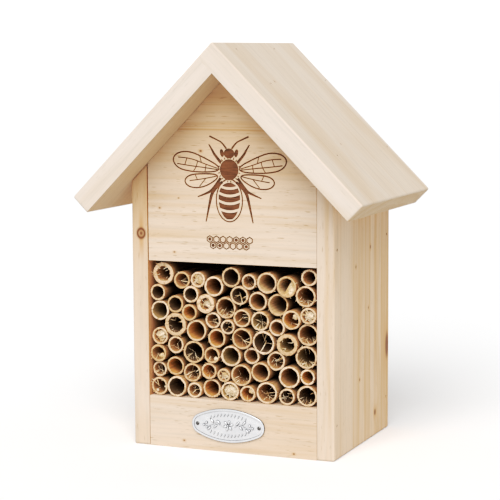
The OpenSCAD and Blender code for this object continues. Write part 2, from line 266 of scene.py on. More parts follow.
def pineMaterial(name, along, across, heart, ring=6.5, contrast=0.30, warp=6.0, flecks=0.5,
                 knots=(), streaks=(), seed=0.0, band=8.0, drift=0.7, shade=(1, 1, 1),
                 edgeShade=(1, 1, 1), endShade=pine["endGrain"], aged=None, turned=None,
                 ringKnot=None, stain=None):
    # along and across are the directions of the fibre and of the board's face; heart is the
    # place of the tree's middle in the cross-section, in millimetres.
    # A knot is (along, across, radius), a streak (across, width, darkness), in millimetres.
    # The darker, more orange part is given as 0 along or 1 across, start, end, strength; it is
    # painted shade on some boards and a warmer tone on others. turned is a direction and the
    # painted shade of the faces that look there. ringKnot (along, thickness, radius) is on the
    # board's front edge, and stain (along, across, radius) is a long dark knot on its face.
    n = Nodes(name)
    a, b = Vector(along), Vector(across)
    c = a.cross(b)
    place = n.place()
    u = n.dot(place, tuple(a * 1000))
    v = n.dot(place, tuple(b * 1000))
    w = n.dot(place, tuple(c * 1000))
    wood = n.join(u, v, w)
    shift = (seed * 37.1, seed * 11.3, seed * 5.7)

    # rings round the heart, bent by slow warps and by the knots
    slow = n.cloud(n.stretch(wood, (1 / 150, 1 / 38, 1 / 38), shift), 2.0, 0.45)
    fine = n.cloud(n.stretch(wood, (1 / 45, 1 / 9, 1 / 9), shift), 2.0, 0.5)
    dv = n.minus(v, heart[0])
    dw = n.minus(w, heart[1])
    far = n.swayed(n.distance(dv, dw), slow, warp * 2)
    far = n.swayed(far, fine, warp * 0.22)
    knotDark, knotHalo = None, None
    for ku, kv, radius in knots:
        du = n.times(n.minus(u, ku), 0.75)
        dk = n.minus(v, kv)
        near = n.swayed(n.distance(du, dk), fine, radius * 0.9)
        bulge = n.span(near, 0, radius * 4.5, radius * 1.6, 0)
        far = n.maths("ADD", far, bulge)
        dark = n.span(near, radius * 0.45, radius * 1.1, 1, 0)
        halo = n.span(near, radius * 0.9, radius * 2.6, 1, 0)
        knotDark = dark if knotDark is None else n.maths("MAXIMUM", knotDark, dark)
        knotHalo = halo if knotHalo is None else n.maths("MAXIMUM", knotHalo, halo)
    uneven = n.cloud(n.join(n.times(far, 0.09), seed, 0.0), 1.0)
    turn = n.maths("MULTIPLY_ADD", uneven, 2.2, n.times(far, 1 / ring))
    phase = n.maths("FRACT", turn)
    year = n.add("ShaderNodeTexWhiteNoise", {"W": n.maths("FLOOR", turn)}, "Value",
                 noise_dimensions="1D")
    late = n.ramp(phase, [(0, 0.10), (0.12, 0.0), (0.48, 0.08), (0.78, 0.55), (0.90, 1.0),
                          (0.97, 0.75), (1.0, 0.12)])
    line = n.times(late, n.span(year, 0, 1, 0.25, 1.0, smooth=False))
    patchy = n.cloud(n.stretch(wood, (1 / 60, 1 / 14, 1 / 14), (3.3, seed, 1.7)), 2.0)
    line = n.times(line, n.span(patchy, 0.3, 0.7, 0.45, 1.15))
    line = n.times(line, contrast)

    # fibres, flecks and the drift of tone
    fibre = n.cloud(n.stretch(wood, (0.02, 0.55, 0.55), shift), 5.0, 0.62)
    thread = n.cloud(n.stretch(wood, (0.09, 4.2, 4.2), shift), 3.0, 0.6)
    fleck = n.cloud(n.stretch(wood, (0.16, 1.5, 1.5), (seed * 7.7, 4.0, 9.0)), 1.0, 0.4)
    fleck = n.span(fleck, 0.655, 0.77)
    tone = n.cloud(n.stretch(wood, (1 / 90, 1 / 30, 1 / 30), (seed, 7.0, 2.0)), 2.0)
    bent = n.times(far, 1 / band)
    sweep = n.cloud(n.join(n.times(u, 1 / 160), bent, seed * 3.1), 3.0, 0.6)

    colour = n.mix(n.span(tone, 0.25, 0.75, 0, 0.35), pine["early"], pine["warm"])
    colour = n.mix(n.span(sweep, 0.46, 0.70, 0, drift), colour, pine["band"])
    colour = n.mix(line, colour, pine["late"])
    colour = n.mix(0.34, colour, n.ramp(fibre, [(0.25, 0.62), (0.5, 1.0), (0.75, 1.12)]),
                   "MULTIPLY")
    colour = n.mix(0.16, colour, n.ramp(thread, [(0.25, 0.70), (0.55, 1.0)]), "MULTIPLY")
    colour = n.mix(n.times(fleck, flecks), colour, pine["fleck"])
    for at, width, darkness in streaks:
        wander = n.swayed(v, fine, width * 1.5)
        off = n.maths("ABSOLUTE", n.minus(wander, at))
        stripe = n.times(n.span(off, width * 0.2, width, darkness, 0),
                         n.span(slow, 0.3, 0.6, 0.4, 1.0))
        colour = n.mix(stripe, colour, pine["late"])
    if knots:
        colour = n.mix(n.times(knotHalo, 0.55), colour, pine["knotHalo"])
        colour = n.mix(n.times(knotDark, 0.92), colour, pine["knot"])
    if stain:
        su, sv, radius = stain
        du = n.times(n.minus(u, su), 0.42)
        near = n.swayed(n.distance(du, n.minus(v, sv)), fine, 1.6)
        colour = n.mix(n.span(near, 0, radius * 2.6, 0.75, 0), colour, pine["knotHalo"])
        colour = n.mix(n.span(near, radius * 0.4, radius, 0.92, 0), colour, pine["knot"])
    if ringKnot:
        ru, rw, size = ringKnot
        du, dw = n.times(n.minus(u, ru), 0.85), n.minus(w, rw)
        near = n.swayed(n.distance(du, dw), fine, 0.8)
        trail = n.times(n.span(n.maths("ABSOLUTE", dw), 0.3, size, 0.8, 0),
                        n.span(n.maths("ABSOLUTE", du), size, size * 7, 1, 0))
        inFront = n.span(n.facing(-b), 0.5, 0.8)
        colour = n.mix(n.times(trail, inFront), colour, pine["knotHalo"])
        inside = n.ramp(n.times(near, 1 / (size * 2)), [
            (0, 1), (0.13, 0.90), (0.22, 0.45), (0.34, 0.55), (0.42, 1), (0.55, 1),
            (0.66, 0.35), (0.80, 0)])
        colour = n.mix(n.times(inside, inFront), colour, pine["knot"])
    end = n.span(n.maths("ABSOLUTE", n.facing(a)), 0.55, 0.9)
    colour = n.mix(n.times(n.times(late, end), 0.35), colour,
                   pine["late"])
    colour = n.mix(end, colour, n.mix(0.85, colour, endShade, "MULTIPLY"))
    edge = n.span(n.maths("ABSOLUTE", n.facing(b)), 0.5, 0.9)
    colour = n.mix(1.0, colour, n.mix(edge, shade, edgeShade), "MULTIPLY")
    # painted shade: darker and more orange towards the tops of the gable, back and left panels,
    # where the roof and its eave shade them; a warmer tone on the sill and right panel
    if aged:
        way, start, stop, strength = aged
        where = n.swayed((u, v)[way], slow, (stop - start) * 0.6)
        colour = n.mix(n.span(where, start, stop, 0, strength), colour,
                       n.mix(1.0, colour, pine["aged"], "MULTIPLY"))
    # painted shade on the faces that look the given way: the roof boards' undersides and the
    # side panels' inner faces
    if turned:
        direction, tint = turned
        colour = n.mix(n.span(n.facing(direction), 0.3, 0.6), colour,
                       n.mix(1.0, colour, tint, "MULTIPLY"))

    height = n.maths("MULTIPLY_ADD", fibre, 0.6, n.times(thread, 0.4))
    height = n.maths("MULTIPLY_ADD", line, 0.35, height)
    height = n.maths("MULTIPLY_ADD", fleck, -0.5, height)
    rough = n.span(fibre, 0.2, 0.8, 0.66, 0.52, smooth=False)
    return n.finish(colour, rough, height, 0.35, 0.00025, Specular_IOR_Level=0.3)


frontShade, sideShade, roofShade = (0.93, 0.925, 0.94), (1.185, 1.14, 1.08), (0.97, 1.03, 1.11)
roofEdgeShade = (0.95, 1.04, 1.19)
# the next line's first pair is painted shade on the roof boards' undersides; the second tints
# their end grain
roofUnderShade, roofEnd = ((0, 0, -1), (0.90, 0.80, 0.66)), (0.98, 0.96, 0.91)
insideShade = (0.72, 0.50, 0.34)        # painted shade on the inner faces of the side panels, inside the cabinet behind the reeds' mouths
frontWood = dict(along=(1, 0, 0), across=(0, 0, 1))      # boards seen from the front
sideWood = dict(along=(0, 0, 1), across=(0, 1, 0), shade=sideShade, edgeShade=frontShade)
innerWood = dict(along=(1, 0, 0), across=(0, 1, 0))      # floor and ceiling
roofWood = dict(across=(0, 1, 0), ring=8.0, band=14.0, flecks=0.2, shade=roofShade,
                edgeShade=roofEdgeShade, turned=roofUnderShade, endShade=roofEnd)
slope = 0.70710678
# Painted shade in these settings: the gable, back and left panels grow darker and more orange
# towards the top, where the roof and its eave shade them, and the side panels' inner faces are
# darkened. The sill and right panel get a warmer tone the same way.
woodSettings = {
    "side_panel_left": dict(sideWood, heart=(20, 70), ring=5.0, contrast=0.35, seed=1.0,
                            aged=(0, 72, 150, 1.0), ringKnot=(124, 56, 2.3),
                            turned=((1, 0, 0), insideShade)),
    "side_panel_right": dict(sideWood, heart=(-20, -150), ring=9.0, contrast=0.30, seed=2.0,
                             band=9.0, drift=0.8, aged=(1, -35, 75, 0.55),
                             knots=[(114, 25.3, 1.0), (105.3, -0.1, 0.8), (78.7, 22.2, 0.8),
                                    (38.7, 6.8, 0.9), (14, 34.7, 1.9)],
                             streaks=[(-26, 2.0, 0.5), (0, 6, 0.5), (-4, 2.0, 0.7),
                                      (5, 1.8, 0.65), (20, 6, 0.5), (16.5, 1.8, 0.7),
                                      (24.5, 2.2, 0.75), (34, 3, 0.6), (51, 7, 0.65),
                                      (46.5, 2.2, 0.8), (57, 3, 0.9)],
                             stain=(51, 56.6, 4.4), turned=((-1, 0, 0), insideShade)),
    "gable_board": dict(frontWood, heart=(250, 40), ring=7.0, contrast=0.26, seed=3.0,
                        flecks=0.75, band=9.0, drift=0.75, shade=frontShade,
                        edgeShade=frontShade, aged=(1, 116, 214, 1.0),
                        knots=[(-44, 139, 0.6), (-18, 172, 0.7), (30, 171, 0.5),
                               (-35, 114, 0.5), (-32, 145, 0.4)],
                        streaks=[(184, 0.7, 1.0), (185.6, 0.4, 0.7), (198, 0.5, 0.5),
                                 (141, 1.6, 0.4), (136, 1.2, 0.45)]),
    "sill_board": dict(frontWood, heart=(-60, 30), ring=6.0, contrast=0.26, seed=4.0,
                       flecks=0.7, shade=frontShade, edgeShade=frontShade,
                       knots=[(-30, 4.5, 0.6), (38, 2.5, 0.6)], aged=(0, -40, 60, 0.45)),
    "floor_board": dict(innerWood, heart=(10, -60), seed=5.0),
    "ceiling_board": dict(innerWood, heart=(-10, -60), seed=6.0),
    "back_panel": dict(frontWood, heart=(90, 45), contrast=0.4, seed=7.0, shade=sideShade,
                       aged=(1, 130, 214, 0.8), knots=[(28, 62, 3.2), (-31, 140, 2.0)]),
    "roof_board_right": dict(roofWood, along=(slope, 0, -slope), heart=(5, 55),
                             contrast=0.23, drift=0.55, seed=8.0,
                             streaks=[(-44, 1.6, 0.35), (-36, 0.9, 0.3), (18, 2.2, 0.2)],
                             knots=[(-133.5, -24, 0.5), (-84, -12, 0.45)]),
    "roof_board_left": dict(roofWood, along=(-slope, 0, -slope), heart=(-8, -60),
                            contrast=0.20, drift=0.4, seed=9.0),
}


def burntMaterial():
    # laser-burnt wood: brown, darker where the ring lines are hard
    n = Nodes("burntPine")
    place = n.place()
    streak = n.cloud(n.stretch(place, (60, 1500, 1500)), 3.0, 0.6)
    patch = n.cloud(n.stretch(place, (150, 300, 300)), 2.0)
    colour = n.mix(n.span(streak, 0.3, 0.7), (0.070, 0.026, 0.010), (0.175, 0.066, 0.026))
    colour = n.mix(n.span(patch, 0.35, 0.7, 0, 0.5), colour, (0.21, 0.085, 0.034))
    return n.finish(colour, 0.8, streak, 0.4, 0.0002, Specular_IOR_Level=0.2)


def newPiece(name, bm, materials, node, angle=35):
    # a finished piece that stands for a node; edges sharper than the angle stay crisp
    piece = meshFrom(bm, name)
    for material in materials:
        piece.data.materials.append(material)
    if angle:
        piece.data.shade_smooth()
        piece.data.set_sharp_from_angle(angle=math.radians(angle))
    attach(piece, "root")
    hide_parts(node)


def addTo(whole, bm):
    mesh = bpy.data.meshes.new("part")
    bm.to_mesh(mesh)
    bm.free()
    whole.from_mesh(mesh)
    bpy.data.meshes.remove(mesh)


def turnAbout(bm, degrees, axis):
    bmesh.ops.rotate(bm, cent=(0, 0, 0), verts=bm.verts,
                     matrix=Matrix.Rotation(math.radians(degrees), 3, axis))


def moveBy(bm, vec):
    bmesh.ops.translate(bm, vec=vec, verts=bm.verts)


def scaleBy(bm, vec):
    bmesh.ops.scale(bm, vec=vec, verts=bm.verts)


def sliceOff(bm, place, direction, **side):
    bmesh.ops.bisect_plane(bm, geom=[*bm.verts, *bm.edges, *bm.faces], dist=1e-6,
                           plane_co=place, plane_no=direction, **side)


def block(low, high):
    bm = bmesh.new()
    bmesh.ops.create_cube(bm, size=1)
    low, high = Vector(low), Vector(high)
    scaleBy(bm, high - low)
    moveBy(bm, (low + high) / 2)
    return bm


def rod(name, radius, depth, place, tall=0.0):
    # a round cutter along Y, drawn out by tall upwards and downwards
    bm = bmesh.new()
    bmesh.ops.create_cone(bm, cap_ends=True, segments=48, radius1=radius, radius2=radius,
                          depth=depth)
    for v in bm.verts:
        v.co.y += tall if v.co.y > 0 else -tall
    turnAbout(bm, 90, "X")
    moveBy(bm, place)
    return meshFrom(bm, name)


def faceOutwards(bm):
    bmesh.ops.recalc_face_normals(bm, faces=bm.faces)
    if bm.calc_volume(signed=True) < 0:
        bmesh.ops.reverse_faces(bm, faces=bm.faces)
    return bm


def islandsOf(bm):
    # the points of each separate solid
    left, found = set(bm.verts), []
    while left:
        island = [left.pop()]
        for v in island:
            for e in v.link_edges:
                other = e.other_vert(v)
                if other in left:
                    left.remove(other)
                    island.append(other)
        found.append(island)
    return found


def thicken(bm, vec):
    # a flat shape made into a closed solid
    made = bmesh.ops.extrude_face_region(bm, geom=list(bm.faces))
    moved = [v for v in made["geom"] if isinstance(v, bmesh.types.BMVert)]
    bmesh.ops.translate(bm, vec=vec, verts=moved)
    bmesh.ops.holes_fill(bm, edges=[e for e in bm.edges if e.is_boundary])
    return faceOutwards(bm)


def upright(outline, yFront, yBack):
    # a board seen from the front: outline is a list of (x, z)
    bm = bmesh.new()
    bm.faces.new([bm.verts.new((x, yFront, z)) for x, z in outline])
    return thicken(bm, (0, yBack - yFront, 0))


def easeEdges(bm, width, segments=3, edges=None):
    bmesh.ops.bevel(bm, geom=list(edges or bm.edges), offset=width, segments=segments,
                    profile=0.5, affect="EDGES", material=-1, clamp_overlap=True)
    return bm


def carve(bm, cutters, shared=()):
    # what is left of a shape without the cutters, which are used up, and the shared ones
    body = meshFrom(bm, "carved")
    whole = bmesh.new()
    for cutter in (*shared, *cutters):
        whole.from_mesh(cutter.data)
    together = meshFrom(whole, "cutters")
    cut = body.modifiers.new("cut", "BOOLEAN")
    cut.operation, cut.object, cut.solver = "DIFFERENCE", together, "EXACT"
    cut.use_self = len(shared) + len(cutters) > 1     # cutters may cross each other
    seen = body.evaluated_get(bpy.context.evaluated_depsgraph_get())
    result = bmesh.new()
    result.from_mesh(seen.to_mesh())
    seen.to_mesh_clear()
    for thing in (body, together, *cutters):
        bpy.data.objects.remove(thing)
    bmesh.ops.remove_doubles(result, verts=result.verts, dist=1e-6)
    bmesh.ops.triangulate(result, faces=result.faces)
    bmesh.ops.dissolve_degenerate(result, edges=result.edges, dist=2e-6)
    # thin leavings of the cut, which are two faces back to back, and the gaps they leave
    pairs = {}
    for f in result.faces:
        pairs.setdefault(frozenset(f.verts), []).append(f)
    crumbs = [f for same in pairs.values() if len(same) > 1 for f in same]
    bmesh.ops.delete(result, geom=crumbs, context="FACES")
    bmesh.ops.holes_fill(result, edges=[e for e in result.edges if e.is_boundary])
    return result


def mergedCopy(node):
    bm = bmesh.new()
    bm.from_mesh(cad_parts[node].data)
    bmesh.ops.remove_doubles(bm, verts=bm.verts, dist=1e-6)
    return bm


def camel(node):
    first, *rest = node.split("_")
    return first + "".join(word.title() for word in rest)


def lathe(profile, place, towards, steps):
    # a profile of (radius, distance towards the front or back) turned all the way round
    bm = bmesh.new()
    verts = [bm.verts.new((radius, 0, along)) for radius, along in profile]
    edges = [bm.edges.new(pair) for pair in zip(verts, verts[1:])]
    bmesh.ops.spin(bm, geom=verts + edges, cent=(0, 0, 0), axis=(0, 0, 1), dvec=(0, 0, 0),
                   angle=2 * math.pi, steps=steps, use_merge=True, use_duplicate=False)
    bmesh.ops.remove_doubles(bm, verts=bm.verts, dist=1e-7)
    bmesh.ops.recalc_face_normals(bm, faces=bm.faces)
    turnAbout(bm, 90 if towards == "front" else -90, "X")
    moveBy(bm, place)
    return bm


bee = {
    "x": -0.0005, "z": 0.1555,      # middle of the waist on the gable board
    "depth": 0.00045,               # how deep the burning goes
    "line": 0.00058,                # half the width of a line
    "cell": 2.35,                   # side of a honeycomb cell under the bee, in millimetres
    "cellsHeight": 0.1205,
    "cellLine": 0.72, "cellSize": 0.80, "cellFill": 0.9,     # shares of a line and a cell
    "burntDepth": (0.00003, 0.0012),         # how far behind the front the burnt faces lie
    "burntArea": (0.040, 0.112, 0.190),      # half its width, its foot and its top
}
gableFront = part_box("gable_board")[0].y


def groove(points, widths, cyclic=False, straight=False, middle=None):
    # a burnt line through the points, which are millimetres from the waist
    cx, cz = middle or (bee["x"], bee["z"])
    curve = bpy.data.curves.new("burntLine", "CURVE")
    curve.dimensions = "3D"
    curve.bevel_depth = bee["line"]
    curve.bevel_resolution = 1
    curve.use_fill_caps = True
    curve.resolution_u = 1 if straight else 4
    spline = curve.splines.new("POLY" if straight else "NURBS")
    spline.points.add(len(points) - 1)
    spline.use_cyclic_u = cyclic
    if not straight:
        spline.order_u = 3
        spline.use_endpoint_u = not cyclic
    for i, (p, (x, z)) in enumerate(zip(spline.points, points)):
        p.co = (cx + x / 1000, gableFront, cz + z / 1000, 1)
        share = i / max(1, len(points) - 1) * (len(widths) - 1)
        k = min(int(share), len(widths) - 2)
        p.radius = widths[k] + (widths[k + 1] - widths[k]) * (share - k)
    thing = newObject("burntLine", curve)
    mesh = bpy.data.meshes.new_from_object(
        thing.evaluated_get(bpy.context.evaluated_depsgraph_get()))
    bpy.data.objects.remove(thing)
    bm = bmesh.new()
    bm.from_mesh(mesh)
    bpy.data.meshes.remove(mesh)
    bmesh.ops.remove_doubles(bm, verts=bm.verts, dist=1e-7)
    bmesh.ops.recalc_face_normals(bm, faces=bm.faces)
    return meshFrom(bm, "burntLine")


def burntOval(x, z, wide, high, bands=((-1.5, 1.5),), turn=0.0, sag=0.0, segments=40):
    # a burnt oval, or only the bands of it between the given shares of its height
    made = []
    for low, top in bands:
        bm = bmesh.new()
        bmesh.ops.create_circle(bm, cap_ends=True, segments=segments, radius=1)
        sliceOff(bm, (0, low, 0), (0, 1, 0), clear_inner=True)
        sliceOff(bm, (0, top, 0), (0, 1, 0), clear_outer=True)
        if sag:
            flat = [e for e in bm.edges
                    if abs(e.verts[0].co.y - e.verts[1].co.y) < 1e-5 and e.calc_length() > 0.3]
            bmesh.ops.subdivide_edges(bm, edges=flat, cuts=9)
            for v in bm.verts:
                v.co.y += sag * (v.co.x ** 2 - 0.3)
        scaleBy(bm, (wide / 2000, high / 2000, 1))
        thicken(bm, (0, 0, 2 * bee["depth"]))
        turnAbout(bm, turn, "Z")
        turnAbout(bm, 90, "X")
        moveBy(bm, (bee["x"] + x / 1000, gableFront + bee["depth"], bee["z"] + z / 1000))
        made.append(meshFrom(bm, "burntOval"))
    return made


def engraving():
    cuts = []
    rng = random.Random(5)
    # body: striped abdomen, furry thorax, head and eyes
    cuts += burntOval(0, -11, 13.2, 21, [(-0.97, -0.62), (-0.48, -0.20), (-0.06, 0.22),
                                         (0.36, 0.62), (0.76, 1.0)], sag=0.16)
    ring = [(8.1 * math.sin(t * math.pi / 9), -11 - 12.2 * math.cos(t * math.pi / 9))
            for t in range(18)]
    cuts.append(groove(ring, (0.75, 0.75), cyclic=True))
    cuts += burntOval(0, 6.3, 11.4, 11.8)
    for i in range(22):
        t = 2 * math.pi * (i + 0.5) / 22
        x, z = 6.0 * math.sin(t), 6.3 + 6.2 * math.cos(t)
        reach = 1.16 + 0.1 * rng.random()
        cuts.append(groove([(x, z), (x * reach, 6.3 + (z - 6.3) * reach)], (0.8, 0.3),
                           straight=True))
    cuts += burntOval(0, 15.4, 6.6, 5.6)
    for side in (-1, 1):
        def both(points):
            return [(side * x, z) for x, z in points]
        cuts += burntOval(side * 4.4, 15.6, 2.3, 4.6, turn=-side * 12, segments=20)
        cuts.append(groove(both([(1.6, 18.0), (4.0, 21.2), (6.0, 22.4), (12.0, 25.0)]),
                           (1.1, 0.9, 0.8, 1.0)))
        # legs
        cuts.append(groove(both([(5.0, 10.2), (9.0, 14.6), (10.2, 17.0), (12.4, 20.4)]),
                           (1.7, 1.5, 1.2, 0.7)))
        cuts.append(groove(both([(5.2, 1.6), (10.0, -5.2), (13.5, -7.2), (19.5, -9.4)]),
                           (1.6, 1.7, 1.3, 0.7)))
        cuts.append(groove(both([(4.2, -0.6), (10.0, -5.0), (12.0, -12.0), (14.4, -23.4)]),
                           (1.6, 2.0, 1.6, 0.7)))
        # forewing and hindwing, each an outline with a few veins
        fore = [(6.2, 8.2), (14.0, 12.2), (24.0, 16.4), (32.0, 15.6), (35.4, 11.6),
                (32.0, 6.6), (24.0, 4.8), (14.0, 4.6), (6.4, 5.4)]
        hind = [(7.0, 3.6), (16.0, 3.8), (25.0, 3.0), (28.2, -0.8), (24.4, -4.4),
                (16.0, -4.2), (7.2, 0.8)]
        cuts.append(groove(both(fore), (0.85, 0.8), cyclic=True))
        cuts.append(groove(both(hind), (0.85, 0.8), cyclic=True))
        for vein in ([(7.0, 6.9), (15, 9.2), (24, 12.6), (31.5, 12.8)],
                     [(7.0, 6.2), (15, 7.2), (25, 8.2), (32.2, 9.2)],
                     [(14.2, 8.9), (14.8, 5.0)], [(19.4, 10.8), (20.2, 7.7)],
                     [(20.2, 7.7), (22.0, 5.0)], [(26.0, 12.6), (27.4, 8.4)],
                     [(17.0, 9.8), (18.0, 13.6)],
                     [(7.6, 2.6), (15, 0.8), (24.5, -0.4)], [(14.6, 0.9), (18.4, -3.6)],
                     [(19.6, 0.2), (21.0, 3.2)]):
            wide = 0.56 if len(vein) == 2 else 0.62   # cross veins are the finer ones
            cuts.append(groove(both(vein), (wide, wide)))
    # honeycomb strip
    s = bee["cell"]
    wide = math.sqrt(3) * s
    middle = (bee["x"], bee["cellsHeight"])
    for row, count in ((0, 7), (1, 6)):
        for i in range(count):
            x = (i - (count - 1) / 2) * wide
            z = (0.75 - row * 1.5) * s
            cell = [(x + bee["cellSize"] * s * math.sin(k * math.pi / 3),
                     z + bee["cellSize"] * s * math.cos(k * math.pi / 3)) for k in range(6)]
            cuts.append(groove(cell, (bee["cellLine"],) * 2, cyclic=True, straight=True,
                               middle=middle))
            if (i * 2 + row * 3) % 5 in (0, 3):
                cuts += burntOval(x + (middle[0] - bee["x"]) * 1000,
                                  z + (middle[1] - bee["z"]) * 1000,
                                  s * bee["cellFill"], s * bee["cellFill"], segments=6,
                                  turn=30)
    return cuts


boards = {
    "edge": 0.0011,          # how far the outer edges are eased
    "roofEdge": 0.0011,
    "innerEdge": 0.00025,
    "seam": 0.0009,          # the open seam between the left panel and the boards beside it
    "nailHoleRise": 0.002,   # how far a nail's hole is cut past its head
}
outwardOf = {
    "side_nails_left": (-1, 0, 0), "side_nails_right": (1, 0, 0), "shelf_nails": (0, 1, 0),
    "roof_nails_right": (1 / root2, 0, 1 / root2), "ridge_nails": (1 / root2, 0, 1 / root2),
    "roof_nails_left": (-1 / root2, 0, 1 / root2),
}


def nailShapes():
    # every nail and the small hole above its head, as one cutter
    whole = bmesh.new()
    for node, outward in outwardOf.items():
        bm = mergedCopy(node)
        outward = Vector(outward)
        heads = [f for f in bm.faces if f.normal.dot(outward) > 0.99]
        made = bmesh.ops.extrude_face_region(bm, geom=heads)
        bmesh.ops.delete(bm, geom=[f for f in heads if f.is_valid], context="FACES_ONLY")
        lifted = [v for v in made["geom"] if isinstance(v, bmesh.types.BMVert)]
        bmesh.ops.translate(bm, vec=outward * boards["nailHoleRise"], verts=lifted)
        addTo(whole, bm)
    return meshFrom(whole, "nailShapes")


def roofBoard(side, top, start, length, thick, yFront, yBack):
    # the edges that meet the other board, and those of the underside, are left square
    bm = block((start, yFront, -thick), (length, yBack, 0))
    upper = [e for e in bm.edges if any(v.co.z > -thick / 2 for v in e.verts)]
    seen = [e for e in upper if any(v.co.x > start + thick / 2 for v in e.verts)]
    easeEdges(bm, boards["roofEdge"], 3, seen if side < 0 else upper)
    turnAbout(bm, 45, "Y")
    moveBy(bm, (0, 0, top))
    if side < 0:
        scaleBy(bm, (-1, 1, 1))
        bmesh.ops.reverse_faces(bm, faces=bm.faces)
    return bm


def panelOutline(low, high):
    # a side panel is square at the foot and cut to the slope of the roof at the top
    wide = high.x - low.x
    right = high.z - wide if high.x > 0 else high.z
    left = high.z if high.x > 0 else high.z - wide
    return [(low.x, low.z), (high.x, low.z), (high.x, right), (low.x, left)]


def gableOutline(low, high):
    return [(low.x, low.z), (high.x, low.z), (high.x, high.z - high.x), (0, high.z),
            (low.x, high.z + low.x)]


def hangerPocket():
    # the let-in for the keyhole plate, and the hollow behind its keyhole
    low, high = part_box("hanger_plate")
    grow, rise, end, depth = 0.0002, 0.002, 0.0055, 0.005
    plate = meshFrom(block((low.x - grow, low.y, low.z - grow),
                           (high.x + grow, high.y + rise, high.z + grow)), "plateLetIn")
    hollow = rod("keyholeHollow", end, depth + rise,
                 (0, low.y + (rise - depth) / 2, (low.z + high.z) / 2), tall=end)
    return [plate, hollow]


def makeBoards():
    nails = nailShapes()
    shapes = {}
    for node in ("side_panel_left", "side_panel_right"):
        low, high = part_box(node)
        bm = upright(panelOutline(low, high), low.y, high.y)
        inner = low.x if high.x > 0 else high.x
        outside = [e for e in bm.edges if any(abs(v.co.x - inner) > 1e-6 for v in e.verts)]
        easeEdges(bm, boards["edge"], 3, outside)
        if inner < 0:
            seam = [e for e in bm.edges if all(abs(v.co.x - inner) < 1e-6
                                               and abs(v.co.y - low.y) < 1e-6 for v in e.verts)]
            easeEdges(bm, boards["seam"], 2, seam)
        shapes[node] = bm
    for node in ("gable_board", "back_panel"):
        low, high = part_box(node)
        shapes[node] = easeEdges(upright(gableOutline(low, high), low.y, high.y),
                                 boards["innerEdge"])
    for node in ("sill_board", "floor_board", "ceiling_board"):
        shapes[node] = easeEdges(block(*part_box(node)), boards["innerEdge"])
    low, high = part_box("roof_board_right")
    thick, length, top = -low.x * root2, high.x * root2, high.z
    shapes["roof_board_right"] = roofBoard(1, top, 0, length, thick, low.y, high.y)
    shapes["roof_board_left"] = roofBoard(-1, top, thick, length, thick, low.y, high.y)
    for node, bm in shapes.items():
        cutters = []
        if node == "back_panel":
            cutters = hangerPocket()
        if node == "gable_board":
            cutters = engraving()
        bm = carve(bm, cutters, [nails])
        materials = [pineMaterial(camel(node) + "Pine", **woodSettings[node])]
        if node == "gable_board":
            materials.append(burntMaterial())
            near, far = (gableFront + depth for depth in bee["burntDepth"])
            half, foot, top = bee["burntArea"]
            for f in bm.faces:
                at = f.calc_center_median()
                if near < at.y < far and abs(at.x) < half and foot < at.z < top:
                    f.material_index = 1
        newPiece(camel(node), bm, materials, node,
                 angle=0)
        print("board:", node, flush=True)
    bpy.data.objects.remove(nails)


makeBoards()


reeds = {
    "steps": 40,             # facets round a reed
    "raggedRim": 0.00030,    # how uneven the sawn rims are
    "frayed": 0.00022,       # how far the skin is frayed at the cut
    "gapShadeDepths": (0.0005, 0.013),      # painted shade: the gaps between the reeds darken between these depths
    "boreShadeDepths": (0.003, 0.022),      # and the painted shade in the bores
    "fibre": 0.00011,        # thickness of a loose fibre
    "taper": 0.75,           # how much thinner a fibre is at its end
    "twist": 1.2,            # how far it turns on its way
    "pithWall": 0.0021,      # wall of a reed that still holds its pith
    "lean": 0.035,           # how far from square a reed may be sawn
    "squash": 0.03,          # and how far from round it may be
    "boreWaves": 0.05, "pithWaves": 0.13,    # how uneven the bore and the pith are
    "rimDepth": 0.0011,      # the sawn rim is no deeper than this
}
# What each reed's mouth shows, from left to right in each course, lowest course first.
mouths = [
    "speck clean tangle clean wad chunk tangle tangle fringe",
    "tangle tangle strips wad fringe clean clean clean",
    "chunk clean fringe split clean clean tangle brush",
    "wad strips clean clean strips strips pith fringe",
    "pith strips speck strips tangle clean chunk",
    "clean clean clean pulp brush clean wad",
    "clean clean clean strips clean flap fringe",
    "pith strips wad clean tangle clean clean",
]
# How the bore of each reed looks: dark, olive, brown, orange or light.
bores = [
    "brown dark brown orange olive orange brown dark dark",
    "brown brown orange brown brown brown brown orange",
    "brown orange dark brown olive brown brown olive",
    "brown brown orange orange brown dark olive brown",
    "dark brown dark brown olive brown orange",
    "olive dark orange brown brown light brown",
    "dark dark brown dark brown light brown",
    "brown brown light dark brown light brown",
]
boreShade = {"dark": 0.0, "olive": 0.25, "brown": 0.5, "orange": 0.75, "light": 1.0}
